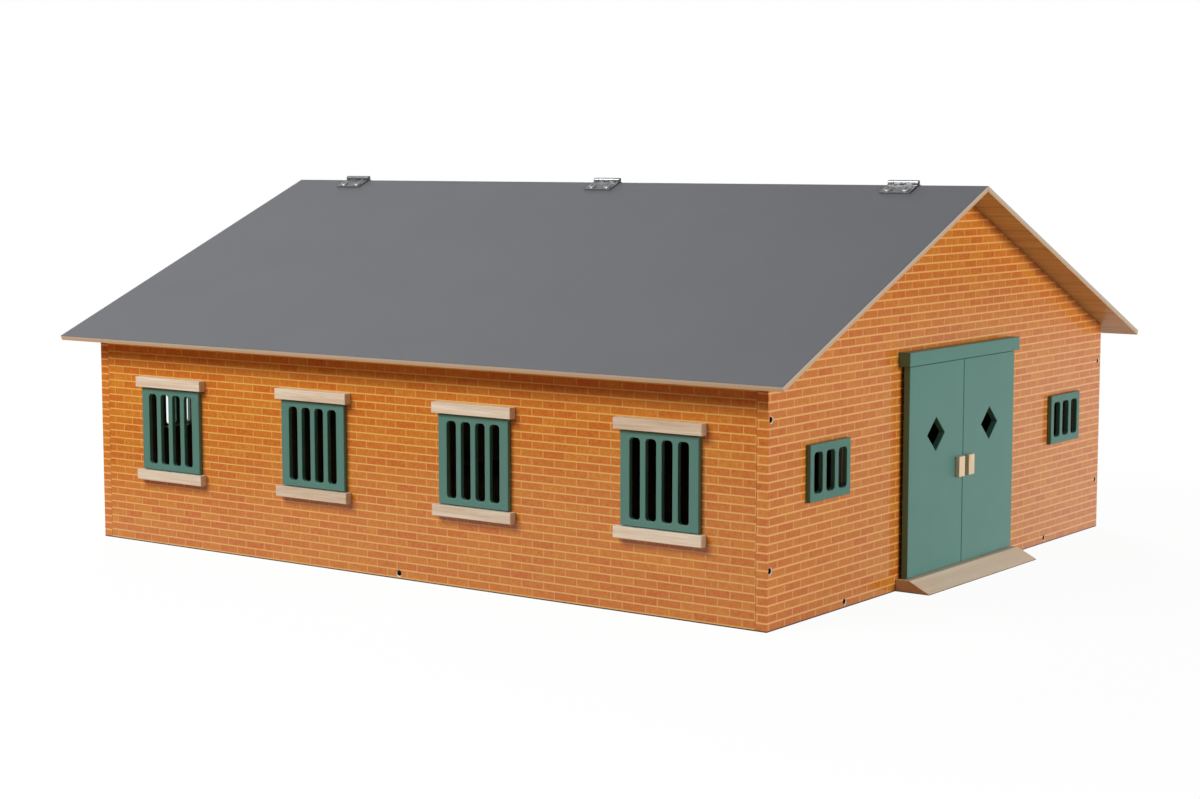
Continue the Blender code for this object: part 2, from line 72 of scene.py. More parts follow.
# %% [markdown]
# Every finish below is a small graph of shader nodes. A graph could be clicked together by hand, but written
# out it can be read, repeated and changed. One helper adds any node with its options and sockets: a plain
# value is typed into a socket, and another node's output is linked to it. The short ones on top of it make
# the nodes that come back most often. The Mix node has a pair of sockets for each kind of data, which can
# only be told apart by number, so those numbers get names.

# %% Add a node
MIX_SHARE = 0
MIX_VALUES = (2, 3)
MIX_COLOURS = (6, 7)
MIXED_VALUE = 0
MIXED_COLOUR = 2


def add_node(tree, kind, sockets=None, **options):
    """Add one node, set its options, and fill or link each named socket."""
    node = tree.nodes.new(kind)
    for name, option in options.items():
        setattr(node, name, option)
    for name, value in (sockets or {}).items():
        if isinstance(value, bpy.types.NodeSocket):
            tree.links.new(value, node.inputs[name])
        else:
            node.inputs[name].default_value = value
    return node


def compute(tree, operation, first, second=0.0):
    """Calculate with two values, as in MULTIPLY, or with the first alone, as in ABSOLUTE."""
    return add_node(tree, "ShaderNodeMath", {0: first, 1: second}, operation=operation).outputs[0]


def reach_along(tree, place, way):
    """How far a place lies along a direction."""
    product = add_node(tree, "ShaderNodeVectorMath", {0: place, 1: way}, operation="DOT_PRODUCT")
    return product.outputs["Value"]


def soft_step(tree, value, start, end, low=0.0, high=1.0):
    """Go from low to high while the value goes from start to end, and stay there on either side."""
    sockets = {"Value": value, "From Min": start, "From Max": end, "To Min": low, "To Max": high}
    return add_node(tree, "ShaderNodeMapRange", sockets).outputs[0]


def blend_values(tree, share, first, second):
    """Share zero gives the first value, and share one the second."""
    sockets = {MIX_SHARE: share, MIX_VALUES[0]: first, MIX_VALUES[1]: second}
    return add_node(tree, "ShaderNodeMix", sockets, data_type="FLOAT").outputs[MIXED_VALUE]


def blend_colours(tree, share, first, second):
    """Share zero gives the first colour, and share one the second."""
    sockets = {MIX_SHARE: share, MIX_COLOURS[0]: first, MIX_COLOURS[1]: second}
    return add_node(tree, "ShaderNodeMix", sockets, data_type="RGBA").outputs[MIXED_COLOUR]


def blend_shaders(tree, share, first, second):
    """Share zero gives the first shader, and share one the second."""
    return add_node(tree, "ShaderNodeMixShader", {0: share, 1: first, 2: second}).outputs[0]


def colour_ramp(tree, value, steps):
    """Turn a value into a colour. Steps are pairs of a position and a screen colour, in rising order."""
    ramp = add_node(tree, "ShaderNodeValToRGB", {"Fac": value})
    elements = ramp.color_ramp.elements
    for element, (position, colour) in zip(elements, (steps[0], steps[-1])):
        element.position = position
        element.color = linear(colour)
    for position, colour in steps[1:-1]:
        elements.new(position).color = linear(colour)
    return ramp.outputs["Color"]


print("sockets of the Mix node for values:", MIX_VALUES, "and for colours:", MIX_COLOURS)

# %% [markdown]
# A finish starts with the numbers that are the same all over its surface, set straight on the shader. Its
# patterns are laid out in the piece's own coordinates, so they have their real size and stay on the piece
# when it moves. The pieces of the construction model have material slots already, and a finish goes in those.

# %% Start a finish and put it on pieces
def start_finish(name, roughness, ior=1.5, metallic=0.0, specular=0.5):
    """Start a material and return it with its node tree, its shader and the object's own coordinates."""
    finish = bpy.data.materials.new(name)
    finish.use_nodes = True
    tree = finish.node_tree
    shader = tree.nodes["Principled BSDF"]
    shader.inputs["Roughness"].default_value = roughness
    shader.inputs["Metallic"].default_value = metallic
    shader.inputs["IOR"].default_value = ior
    shader.inputs["Specular IOR Level"].default_value = specular
    place = add_node(tree, "ShaderNodeTexCoord").outputs["Object"]
    return finish, tree, shader, place


def dress(finish, *names):
    """Put a finish on pieces of the construction model, through their material slots."""
    for name in names:
        for slot in nodes[name].material_slots:
            slot.material = finish
    print(finish.name, "is on", len(names), "pieces")


print("material slots to fill:", sum(len(node.material_slots) for node in nodes.values()))

# %% [markdown]
# The boards' places come from the model itself. The roof's slope is the direction in which the largest face
# of its front half points, and the ridge line is the axis of the joint that lifts that half. Measuring them
# is safer than typing them, because the finishes then stay on the boards whatever size those have.

# %% Measure the boards and the roof
front_wall_low, front_wall_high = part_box("front_wall")
gable_low, gable_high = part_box("door_gable_wall")
LONG_WALL_FACE = -front_wall_low.y
LONG_WALL_END = front_wall_high.x
GABLE_FACE = gable_high.x
GABLE_HALF_WIDTH = gable_high.y

ridge_axis = Vector(next(joint["pos_m"] for joint in frame["joints"] if joint["name"] == "roof_lift"))
roof_faces = nodes["front_roof_half"].data.polygons
roof_top = max((face for face in roof_faces if face.normal.z > 0.5), key=lambda face: face.area)
ROOF_UP = roof_top.normal.copy()
ROOF_DOWN_SLOPE = Vector((1, 0, 0)).cross(ROOF_UP)
ROOF_TOP_LEVEL = ROOF_UP.dot(roof_top.center)
ROOF_BOARD = ROOF_TOP_LEVEL - min(ROOF_UP.dot(v.co) for v in nodes["front_roof_half"].data.vertices)
print("roof slope, degrees:", round(math.degrees(math.acos(ROOF_UP.z)), 2))
print("roof board, mm:", round(ROOF_BOARD / MM, 2), "gable half width, mm:", round(GABLE_HALF_WIDTH / MM, 1))

# %% [markdown]
# The camera stands a little above the roof's eave and looks at the corner between the windows and the doors.
# Its place and lens were found by fitting a pinhole camera to the toy's corners. A direction is easier to
# read as an azimuth round the toy and an elevation above the ground, so the script turns those into a
# vector, puts the camera at its measured place and aims it with that vector.

# %% Camera
CAMERA_AZIMUTH = math.radians(36.10)
CAMERA_ELEVATION = math.radians(6.25)
CAMERA_PLACE = Vector((1142.05, -1576.9, 329.6)) * MM
SENSOR_WIDTH = 36.0
LENS = 67.19


def direction(azimuth, elevation):
    """The way from the toy towards a lamp or camera, azimuth 0 being straight in front of the long wall."""
    flat = math.cos(elevation)
    return Vector((math.sin(azimuth) * flat, -math.cos(azimuth) * flat, math.sin(elevation)))


camera_data = bpy.data.cameras.new("camera")
camera_data.sensor_fit = "HORIZONTAL"
camera_data.sensor_width = SENSOR_WIDTH
camera_data.lens = LENS
camera = bpy.data.objects.new("camera", camera_data)
camera.location = CAMERA_PLACE
camera.rotation_euler = direction(CAMERA_AZIMUTH, CAMERA_ELEVATION).to_track_quat("Z", "Y").to_euler()
bpy.context.scene.collection.objects.link(camera)
bpy.context.scene.camera = camera
bpy.context.scene.view_settings.view_transform = "Standard"
print("camera to ridge, mm:", round((CAMERA_PLACE - ridge_axis).length / MM))

# %% [markdown]
# The toy stands on a plain floor in front of white. Making that white with more light would bleach the toy,
# so the white is only shown, and dimmer light falls on the toy. Blender's Light Path node tells what kind of
# ray meets a surface: one from the camera, one from gloss or through glass, or one that spreads light about.
# The floor and the world answer each kind in its own way, so one function makes the switches for both.

# %% Kinds of rays
def ray_kinds(tree):
    """Two switches: rays from the camera, and rays from gloss or through glass."""
    path = add_node(tree, "ShaderNodeLightPath")
    gloss = path.outputs["Is Glossy Ray"]
    glass = path.outputs["Is Transmission Ray"]
    return path.outputs["Is Camera Ray"], compute(tree, "MAXIMUM", gloss, glass)


floor_finish = bpy.data.materials.new("pale_floor")
floor_finish.use_nodes = True
floor_tree = floor_finish.node_tree
floor_tree.nodes.remove(floor_tree.nodes["Principled BSDF"])
camera_sees, gloss_sees = ray_kinds(floor_tree)
print("nodes on the floor so far:", [node.bl_label for node in floor_tree.nodes])

# %% [markdown]
# The camera sees the floor as white paper. Near the toy a little of a really lit white card is mixed in, and
# so the floor keeps the toy's soft shadow. That share fades out with distance, which hides where it ends.

# %% Floor for the camera
SHADOW_NEAR = 0.7
SHADOW_FAR = 1.6
SHADOW_SHARE = 0.05

floor_place = add_node(floor_tree, "ShaderNodeTexCoord").outputs["Object"]
from_toy = add_node(floor_tree, "ShaderNodeVectorMath", {0: floor_place}, operation="LENGTH").outputs["Value"]
paper_seen = soft_step(floor_tree, from_toy, SHADOW_NEAR, SHADOW_FAR, low=1 - SHADOW_SHARE)
lit_card = add_node(floor_tree, "ShaderNodeBsdfDiffuse", {"Color": WHITE}).outputs[0]
bare_white = add_node(floor_tree, "ShaderNodeEmission", {"Color": WHITE, "Strength": 1.0}).outputs[0]
floor_for_camera = blend_shaders(floor_tree, paper_seen, lit_card, bare_white)
print("real light in the floor near the toy, percent:", round(SHADOW_SHARE * 100))

# %% [markdown]
# Print, paint and steel all show what surrounds them, so the white that gloss finds decides where they look
# pale. The sheen on the toy suggests how far the studio's paper reached: about a metre in front, and less on
# the left. Behind, the paper's right edge shows in the gable, where the print gets paler beyond the doors.
# About half the white is left past that edge, and a few metres back the paper ends. Each edge is a soft step
# in the floor's own coordinates.

# %% Floor for gloss
PAPER_FRONT = (0.95, 1.25)
PAPER_LEFT = (0.5, 1.0)
PAPER_BACK = (2.2, 4.0)
PAPER_RIGHT_AZIMUTH = math.radians(152)
PAPER_RIGHT_SOFT = 0.09
PAPER_RIGHT_SHARE = 0.5
BESIDE_GABLE_SOFT = 0.02
ROOM_LIGHT = "303030"

floor_y = add_node(floor_tree, "ShaderNodeSeparateXYZ", {0: floor_place}).outputs["Y"]
front_edge = soft_step(floor_tree, floor_y, -PAPER_FRONT[1], -PAPER_FRONT[0])
rightwards = reach_along(floor_tree, floor_place, direction(CAMERA_AZIMUTH + math.pi / 2, 0))
left_edge = soft_step(floor_tree, rightwards, -PAPER_LEFT[1], -PAPER_LEFT[0])
front_paper = compute(floor_tree, "MULTIPLY", front_edge, left_edge)

paper_left_way = direction(PAPER_RIGHT_AZIMUTH + math.pi / 2, 0)
edge_middle = Vector((GABLE_FACE, 0, 0)).dot(paper_left_way)
right_edge = soft_step(
    floor_tree,
    reach_along(floor_tree, floor_place, paper_left_way),
    edge_middle - PAPER_RIGHT_SOFT,
    edge_middle + PAPER_RIGHT_SOFT,
    low=PAPER_RIGHT_SHARE,
)
back_edge = soft_step(floor_tree, from_toy, *PAPER_BACK, low=1.0, high=0.0)
back_paper = compute(floor_tree, "MULTIPLY", right_edge, back_edge)

beside_gable = soft_step(
    floor_tree, floor_y, -LONG_WALL_FACE - BESIDE_GABLE_SOFT, -LONG_WALL_FACE + BESIDE_GABLE_SOFT
)
paper_share = blend_values(floor_tree, beside_gable, front_paper, back_paper)
beyond_paper = add_node(floor_tree, "ShaderNodeBsdfDiffuse", {"Color": linear(ROOM_LIGHT)}).outputs[0]
floor_for_gloss = blend_shaders(floor_tree, paper_share, beyond_paper, bare_white)
print("paper behind the toy fades out between, m:", PAPER_BACK)

# %% [markdown]
# All other rays spread light, and for them the floor is a tan card. It sends a soft, warm light up under the
# eaves and on the lower walls. A white floor would send up more light, and colder light. The floor itself is
# a large disc, which isn't part of the toy.

# %% Floor for spreading light
FLOOR_RADIUS = 7.0
FLOOR_SIDES = 96
FLOOR_BOUNCE = "bc9874"

spreading_floor = add_node(floor_tree, "ShaderNodeBsdfDiffuse", {"Color": linear(FLOOR_BOUNCE)}).outputs[0]
unseen_floor = blend_shaders(floor_tree, gloss_sees, spreading_floor, floor_for_gloss)
whole_floor = blend_shaders(floor_tree, camera_sees, unseen_floor, floor_for_camera)
floor_tree.links.new(whole_floor, floor_tree.nodes["Material Output"].inputs["Surface"])
floor_finish.cycles.emission_sampling = "NONE"

floor_shape = bmesh.new()
bmesh.ops.create_circle(floor_shape, cap_ends=True, segments=FLOOR_SIDES, radius=FLOOR_RADIUS)
floor_mesh = bpy.data.meshes.new("floor")
floor_shape.to_mesh(floor_mesh)
floor_shape.free()
floor = bpy.data.objects.new("floor", floor_mesh)
floor.data.materials.append(floor_finish)
bpy.context.scene.collection.objects.link(floor)
print("floor radius, m:", FLOOR_RADIUS)

# %% [markdown]
# The world is white wherever the camera looks. Gloss finds a white backdrop behind the toy, which ends on
# the right like the paper, under a dim ceiling that keeps plated steel grey from any side. Everywhere else
# the room is dark grey, and that little light also fills the shadows.

# %% World
BACKDROP_RIGHT_AZIMUTH = math.radians(168)
BACKDROP_SOFT = 0.1
CEILING_BEGINS = (0.3, 0.6)
CEILING_SHARE = 0.32

world = bpy.data.worlds.new("studio")
bpy.context.scene.world = world
world.use_nodes = True
world_tree = world.node_tree
world_tree.nodes.clear()
room = add_node(world_tree, "ShaderNodeBackground", {"Color": linear(ROOM_LIGHT), "Strength": 1.0}).outputs[0]
white = add_node(world_tree, "ShaderNodeBackground", {"Color": WHITE, "Strength": 1.0}).outputs[0]
sky_way = add_node(world_tree, "ShaderNodeTexCoord").outputs["Generated"]
sky_axes = add_node(world_tree, "ShaderNodeSeparateXYZ", {0: sky_way})
from_side = reach_along(world_tree, sky_way, direction(BACKDROP_RIGHT_AZIMUTH + math.pi / 2, 0))
left_of_edge = soft_step(world_tree, from_side, -BACKDROP_SOFT, BACKDROP_SOFT)
behind_toy = compute(world_tree, "GREATER_THAN", sky_axes.outputs["Y"], 0.0)
backdrop = compute(world_tree, "MULTIPLY", left_of_edge, behind_toy)
overhead = soft_step(world_tree, sky_axes.outputs["Z"], *CEILING_BEGINS)
studio_white = blend_values(world_tree, overhead, backdrop, CEILING_SHARE)
camera_sees, gloss_sees = ray_kinds(world_tree)
white_in_gloss = compute(world_tree, "MULTIPLY", gloss_sees, studio_white)
seen_white = compute(world_tree, "MAXIMUM", camera_sees, white_in_gloss)
whole_world = blend_shaders(world_tree, seen_white, room, white)
add_node(world_tree, "ShaderNodeOutputWorld", {"Surface": whole_world})
print("nodes in the world:", len(world_tree.nodes))

# %% [markdown]
# Three large soft lamps light the toy. The key stands to the left and rather high, so that the eave throws
# its band of shadow on the long wall. The second stands low to the right and washes the gable, where all that
# juts out gets a dark left side. The third lights the sides that only a view from behind shows. Gloss sees
# the key alone, as the bright line on each hinge barrel, and the paper decides the rest of the sheen. A
# lamp's power is worked out from the level wanted on a white card that faces it.

# %% Lamps
def soft_lamp(name, azimuth, elevation, distance, size, level, in_gloss):
    """Add an area lamp aimed at the toy. At level one it lights a white card facing it to plain white."""
    data = bpy.data.lights.new(name, "AREA")
    data.shape = "RECTANGLE"
    data.size, data.size_y = size
    data.energy = level * math.pi**2 * distance**2
    lamp = bpy.data.objects.new(name, data)
    way = direction(math.radians(azimuth), math.radians(elevation))
    lamp.location = way * distance
    lamp.rotation_euler = way.to_track_quat("Z", "Y").to_euler()
    lamp.visible_camera = False
    lamp.visible_glossy = in_gloss
    bpy.context.scene.collection.objects.link(lamp)
    print(name, "watts:", round(data.energy))


soft_lamp("key_lamp", azimuth=-20, elevation=38, distance=2.7, size=(1.9, 0.95), level=0.92, in_gloss=True)
soft_lamp("gable_lamp", azimuth=97, elevation=13, distance=4.0, size=(2.0, 1.2), level=0.68, in_gloss=False)
soft_lamp("back_lamp", azimuth=222, elevation=28, distance=3.5, size=(1.8, 1.2), level=0.9, in_gloss=False)

# %% [markdown]
# Three effects come back in several finishes. A piece that stands on the ground gets a thin dark line along
# its foot: painted shade, standing in for the shadow where it meets the floor. A laminated, sprayed or rolled
# skin has waves too low to model. The eye finds them only in gloss, so they go into a bump. And cut
# fibreboard is pressed wood dust, brown with darker specks, which looks soft and dull beside print and paint.

# %% Shared surface effects
# Colour of the painted shade along the foot of a piece that stands on the ground.
FOOT_SHADE = "3c2415"
FIBRE_SPECK = 0.9 * MM
FIBRE_COLOURS = ((0.35, "674a33"), (0.65, "856347"))


def painted_foot_shade(tree, place, colour, top):
    """Paint shade along the foot of a piece that stands on the ground, from there up to top."""
    height = add_node(tree, "ShaderNodeSeparateXYZ", {0: place}).outputs["Z"]
    return blend_colours(tree, compute(tree, "LESS_THAN", height, top), colour, linear(FOOT_SHADE))


def skin_bump(tree, place, width, height):
    """The low waves of a skin: width across a wave, height of its crest."""
    waves = add_node(tree, "ShaderNodeTexNoise", {"Vector": place, "Scale": 1 / width, "Detail": 2.0})
    bump = add_node(tree, "ShaderNodeBump", {"Height": waves.outputs["Fac"], "Distance": height})
    return bump.outputs["Normal"]


def fibre_colour(tree, place):
    """Bare fibreboard: brown pressed wood dust with darker specks."""
    sockets = {"Vector": place, "Scale": 1 / FIBRE_SPECK, "Detail": 4.0, "Roughness": 0.7}
    specks = add_node(tree, "ShaderNodeTexNoise", sockets)
    return colour_ramp(tree, specks.outputs["Fac"], FIBRE_COLOURS)


print("size of the fibreboard's pattern, mm:", round(FIBRE_SPECK / MM, 1))

# %% [markdown]
# The walls are fibreboard faced with printed paper. Only the outer faces are printed, and all the rest is
# bare board. The holes for screws are countersunk through the print, and their cones show a pale rim. Faces
# could be picked one by one, but depth tells them apart more simply: a mask from the piece's own coordinates
# keeps the print on the outermost skin, and a deeper one gives the rim.

# %% Where the print lies
PRINT_SKIN = 0.2 * MM
PALE_RIM = 1.0 * MM
RIM_COLOUR = "ecd8c0"


def outer_skin(tree, axes, depth):
    """Masks for all that lies within a depth of the outside: of the long walls alone, and of any wall."""
    from_middle_x = compute(tree, "ABSOLUTE", axes.outputs["X"])
    from_middle_y = compute(tree, "ABSOLUTE", axes.outputs["Y"])
    side = compute(tree, "GREATER_THAN", from_middle_y, LONG_WALL_FACE - depth)
    end = compute(tree, "GREATER_THAN", from_middle_x, GABLE_FACE - depth)
    return side, compute(tree, "MAXIMUM", side, end)


print("printed skin, mm:", round(PRINT_SKIN / MM, 1))

# %% [markdown]
# The print shows small bricks in running bond: each course is shifted by half a brick. Drawing lines by hand
# would need hundreds of faces, so Blender's Brick Texture does it, given the real brick, course and mortar
# sizes. Every brick gets its own tint, and a soft noise mottles it, as ink does. The level joints are printed
# stronger than the upright ones, which makes the courses lead the eye along the wall.

# %% Bricks and joints
COURSE = 6.17 * MM
BRICK_INKS = ((0.27, "bd5e22"), (0.43, "c57027"), (0.57, "c87b2b"), (0.73, "d38b33"))
JOINT_TINT = "bcbcbc"
JOINT_SMOOTH = 0.3
LEVEL_JOINT_FADE = (0.35, 0.6)
UPRIGHT_JOINT = 0.6
MOTTLE = 2.4 * MM
MOTTLE_SHARE = 0.8


def brick_colour(tree, place, from_joint, from_course, brick, mortar, mortar_ink):
    """Inks and joints, placed by the distances from a first joint along the wall and a first course up it."""
    on_wall = add_node(tree, "ShaderNodeCombineXYZ", {"X": from_joint, "Y": from_course})
    bricks = add_node(
        tree,
        "ShaderNodeTexBrick",
        {
            "Vector": on_wall.outputs[0],
            "Color1": BLACK,
            "Color2": WHITE,
            "Mortar": linear(JOINT_TINT),
            "Scale": 1.0,
            "Mortar Size": mortar / 2,
            "Mortar Smooth": JOINT_SMOOTH,
            "Brick Width": brick,
            "Row Height": COURSE,
        },
        offset=0.5,
        offset_frequency=2,
    )
    sockets = {"Vector": place, "Scale": 1 / MOTTLE, "Detail": 3.0, "Roughness": 0.7}
    mottle = add_node(tree, "ShaderNodeTexNoise", sockets)
    tint = blend_values(tree, MOTTLE_SHARE, bricks.outputs["Color"], mottle.outputs["Fac"])
    inks = colour_ramp(tree, tint, BRICK_INKS)
    to_level_joint = compute(tree, "PINGPONG", from_course, COURSE / 2)
    full_ink, no_ink = [share * mortar for share in LEVEL_JOINT_FADE]
    level_joint = soft_step(tree, to_level_joint, full_ink, no_ink, low=1.0, high=0.0)
    upright_joint = compute(tree, "MULTIPLY", bricks.outputs["Fac"], UPRIGHT_JOINT)
    joints = compute(tree, "MAXIMUM", level_joint, upright_joint)
    return blend_colours(tree, joints, inks, linear(mortar_ink))


print("course height, mm:", round(COURSE / MM, 2))

# %% [markdown]
# The print is laminated, so its gloss is rather sharp, and the wall turns pale where it mirrors the white
# paper. The long walls and the gables seem to come from two sheets: their bricks differ a little in length,
# and the gables' print goes on round the corner over the edges of their boards. So each pair of walls gets
# its own finish from one function, with the places where a joint and a course begin, as measured on the toy.

# %% Brick print
WALL_FOOT = 0.9 * MM
PRINT_ROUGHNESS = 0.2
LAMINATE_WAVE = 1.5 * MM
LAMINATE_CREST = 0.01 * MM


def print_finish(name, brick, mortar, mortar_ink, first_course, first_joint, round_corner):
    """The print of one pair of walls, from its brick, its mortar, and where a course and a joint begin."""
    finish, tree, shader, place = start_finish(name, roughness=PRINT_ROUGHNESS)
    axes = add_node(tree, "ShaderNodeSeparateXYZ", {0: place})
    side, printed = outer_skin(tree, axes, PRINT_SKIN)
    rim = outer_skin(tree, axes, PALE_RIM)[1]
    board = blend_colours(tree, rim, fibre_colour(tree, place), linear(RIM_COLOUR))
    along = axes.outputs["X"]
    if round_corner:
        along = blend_values(tree, side, axes.outputs["Y"], axes.outputs["X"])
    from_joint = compute(tree, "SUBTRACT", along, first_joint)
    from_course = compute(tree, "SUBTRACT", axes.outputs["Z"], first_course)
    wall = brick_colour(tree, place, from_joint, from_course, brick, mortar, mortar_ink)
    # The wall's foot gets a thin line of painted shade.
    colour = painted_foot_shade(tree, place, blend_colours(tree, printed, board, wall), WALL_FOOT)
    tree.links.new(colour, shader.inputs["Base Color"])
    tree.links.new(skin_bump(tree, place, LAMINATE_WAVE, LAMINATE_CREST), shader.inputs["Normal"])
    return finish


long_wall_print = print_finish(
    "printed_board_long_walls",
    brick=20.56 * MM,
    mortar=1.0 * MM,
    mortar_ink="deb364",
    first_course=1.35 * MM,
    first_joint=LONG_WALL_END - 0.5 * MM,
    round_corner=False,
)
gable_print = print_finish(
    "printed_board_gables",
    brick=21.2 * MM,
    mortar=1.25 * MM,
    mortar_ink="e8b068",
    first_course=0.0,
    first_joint=13.2 * MM - GABLE_HALF_WIDTH,
    round_corner=True,
)
dress(long_wall_print, "front_wall", "rear_wall")
dress(gable_print, "door_gable_wall", "far_gable_wall")

# %% [markdown]
# The floor inside is the same fibreboard without print. Its sanded face is matt, because pressed wood dust
# scatters light in all directions. So it gets a high roughness, and the eye finds only its specks.

# %% Bare fibreboard
SANDED_WAVE = 0.8 * MM
SANDED_CREST = 0.02 * MM

bare_board, tree, shader, place = start_finish("sanded_fibreboard", roughness=0.85, specular=0.3)
tree.links.new(fibre_colour(tree, place), shader.inputs["Base Color"])
tree.links.new(skin_bump(tree, place, SANDED_WAVE, SANDED_CREST), shader.inputs["Normal"])
dress(bare_board, "floor_board")

# %% [markdown]
# Wood grain is long fibres that run one way. A noise that is stretched along the grain draws them: the
# object's coordinates are divided by the fibre's length along the grain and by its width across it. The same
# three-dimensional noise shows streaks on the faces and dots on the cut ends, as real wood does. One function
# serves the strips, the handles, the ramp and the underside of the roof, each with its own colours.

# %% Wood grain
BAND_SCALE = 0.22
BAND_SHARE = 0.45
GRAIN_POSITIONS = (0.32, 0.48, 0.66)


def grain(tree, place, fibre_length, fibre_width, along):
    """A noise stretched along X, Y or Z, with fine fibres over broader bands."""
    sizes = [fibre_length if axis == along else fibre_width for axis in "XYZ"]
    stretched = add_node(tree, "ShaderNodeMapping", {"Vector": place, "Scale": [1 / size for size in sizes]})
    fine_sockets = {"Vector": stretched.outputs[0], "Scale": 1.0, "Detail": 3.0, "Roughness": 0.65}
    fine = add_node(tree, "ShaderNodeTexNoise", fine_sockets)
    band_sockets = {"Vector": stretched.outputs[0], "Scale": BAND_SCALE, "Detail": 1.0, "Distortion": 0.6}
    bands = add_node(tree, "ShaderNodeTexNoise", band_sockets)
    return blend_values(tree, BAND_SHARE, fine.outputs["Fac"], bands.outputs["Fac"])


def wood_colour(tree, fibres, *colours):
    """Colour the grain from its dark late wood through a middle tone to its pale early wood."""
    return colour_ramp(tree, fibres, list(zip(GRAIN_POSITIONS, colours)))


print("grain positions:", GRAIN_POSITIONS)

# %% [markdown]
# The lintels and sills are planed pine, left bare. Planing cuts the fibres clean, so the wood keeps a faint
# sheen along them. The strips differ in tint, as offcuts of several boards do, so there are three tints. The
# handles are small blocks with eased edges. They and the ramp are sanded and look a little warmer, and the
# ramp gets the same painted shade along its foot as the walls.

# %% Bare wood
WOOD_FOOT = 0.55 * MM
WOOD_CREST = 0.06 * MM


def wood_finish(name, colours, fibre_length, fibre_width, along):
    """Planed or sanded wood, left bare. Colours go from the dark to the pale part of the grain."""
    finish, tree, shader, place = start_finish(name, roughness=0.6, specular=0.35)
    fibres = grain(tree, place, fibre_length, fibre_width, along)
    # A piece that reaches the ground gets a thin line of painted shade at its foot.
    colour = painted_foot_shade(tree, place, wood_colour(tree, fibres, *colours), WOOD_FOOT)
    tree.links.new(colour, shader.inputs["Base Color"])
    bump = add_node(tree, "ShaderNodeBump", {"Height": fibres, "Distance": WOOD_CREST})
    tree.links.new(bump.outputs["Normal"], shader.inputs["Normal"])
    return finish


STRIP_TINTS = {
    "dark": ("bba58d", "c9b7a0", "d7ccb9"),
    "middle": ("c2ad97", "d1c3ae", "dfd6c8"),
    "pale": ("cdb9a3", "dbcdb9", "e8dfd0"),
}
STRIPS = {
    "dark": ("4_lintel", "2_sill"),
    "middle": ("1_lintel", "2_lintel", "3_lintel", "1_sill", "3_sill"),
    "pale": ("4_sill",),
}
for tint, colours in STRIP_TINTS.items():
    strip_wood = wood_finish(f"planed_pine_{tint}", colours, 26 * MM, 0.8 * MM, along="X")
    dress(strip_wood, *[f"front_window_{strip}" for strip in STRIPS[tint]])
handle_wood = wood_finish("sanded_pine_block", ("dcc09c", "e8d2b2", "f0e0c6"), 12 * MM, 0.9 * MM, along="Z")
dress(handle_wood, "left_handle", "right_handle")
ramp_wood = wood_finish("sanded_ramp_wood", ("e6ccb0", "eed6bc", "f6dfc8"), 30 * MM, 1.0 * MM, along="Y")
dress(ramp_wood, "door_ramp")

# %% [markdown]
# The roof halves are thin board, sprayed grey on top only. Their edges show the board's own layers, and
# their undersides are bare brown wood. A mask again tells the three apart. It measures how deep a point lies
# under the painted face: both slopes mirror each other, so the point's distance from the ridge line, with no
# sign, serves for the two halves at once. The spray dries satin, so the roof gets only a broad, weak sheen.

# %% Roof board
ROOF_COAT = 0.25 * MM
ROOF_GREYS = ("67686c", "6b6d71")
ROOF_CLOUD = 60 * MM
EDGE_LAYERS = ((0.42, "c3b8a7"), (0.58, "c4a98f"))
UNDERSIDE = ("ae8c58", "caa870", "ddbf84")
SPRAY_WAVE = 2.0 * MM
SPRAY_CREST = 0.02 * MM


def roof_finish():
    """Grey sprayed top, layered pale edges and a bare brown underside, told apart by depth."""
    finish, tree, shader, place = start_finish("sprayed_roof_board", roughness=0.45, specular=0.3)
    mirrored = add_node(tree, "ShaderNodeVectorMath", {0: place}, operation="ABSOLUTE").outputs[0]
    level = reach_along(tree, mirrored, (0.0, abs(ROOF_UP.y), ROOF_UP.z))
    depth = compute(tree, "SUBTRACT", ROOF_TOP_LEVEL, level)
    painted = compute(tree, "LESS_THAN", depth, ROOF_COAT)
    below = compute(tree, "GREATER_THAN", depth, ROOF_BOARD - ROOF_COAT)
    edge = colour_ramp(tree, compute(tree, "DIVIDE", depth, ROOF_BOARD), EDGE_LAYERS)
    cloud = add_node(tree, "ShaderNodeTexNoise", {"Vector": place, "Scale": 1 / ROOF_CLOUD, "Detail": 2.0})
    grey = blend_colours(tree, cloud.outputs["Fac"], *[linear(colour) for colour in ROOF_GREYS])
    topped = blend_colours(tree, painted, edge, grey)
    underside = wood_colour(tree, grain(tree, place, 40 * MM, 1.0 * MM, "X"), *UNDERSIDE)
    tree.links.new(blend_colours(tree, below, topped, underside), shader.inputs["Base Color"])
    tree.links.new(skin_bump(tree, place, SPRAY_WAVE, SPRAY_CREST), shader.inputs["Normal"])
    return finish


dress(roof_finish(), "front_roof_half", "rear_roof_half")

# %% [markdown]
# Grilles, doors and the header are fibreboard with a grey-green satin paint. A roller leaves low waves in
# such paint, which gloss shows better than colour, so they go into the bump. A broad, faint noise varies the
# colour a little, because no coat is equally thick all over. The doors and the header look a touch paler than
# the grilles, as if they had a coat less, so they get colours of their own.

# %% Green satin paint
COAT_PATCH = 25 * MM
ROLLER_WAVE = 1.2 * MM
ROLLER_CREST = 0.015 * MM
WINDOWS = range(1, 5)


def paint_finish(name, thin, thick):
    """Satin paint on fibreboard: thin and thick are the colours of a thin and of a full coat."""
    finish, tree, shader, place = start_finish(name, roughness=0.42)
    coat = add_node(tree, "ShaderNodeTexNoise", {"Vector": place, "Scale": 1 / COAT_PATCH, "Detail": 3.0})
    colour = blend_colours(tree, coat.outputs["Fac"], linear(thin), linear(thick))
    tree.links.new(colour, shader.inputs["Base Color"])
    tree.links.new(skin_bump(tree, place, ROLLER_WAVE, ROLLER_CREST), shader.inputs["Normal"])
    return finish


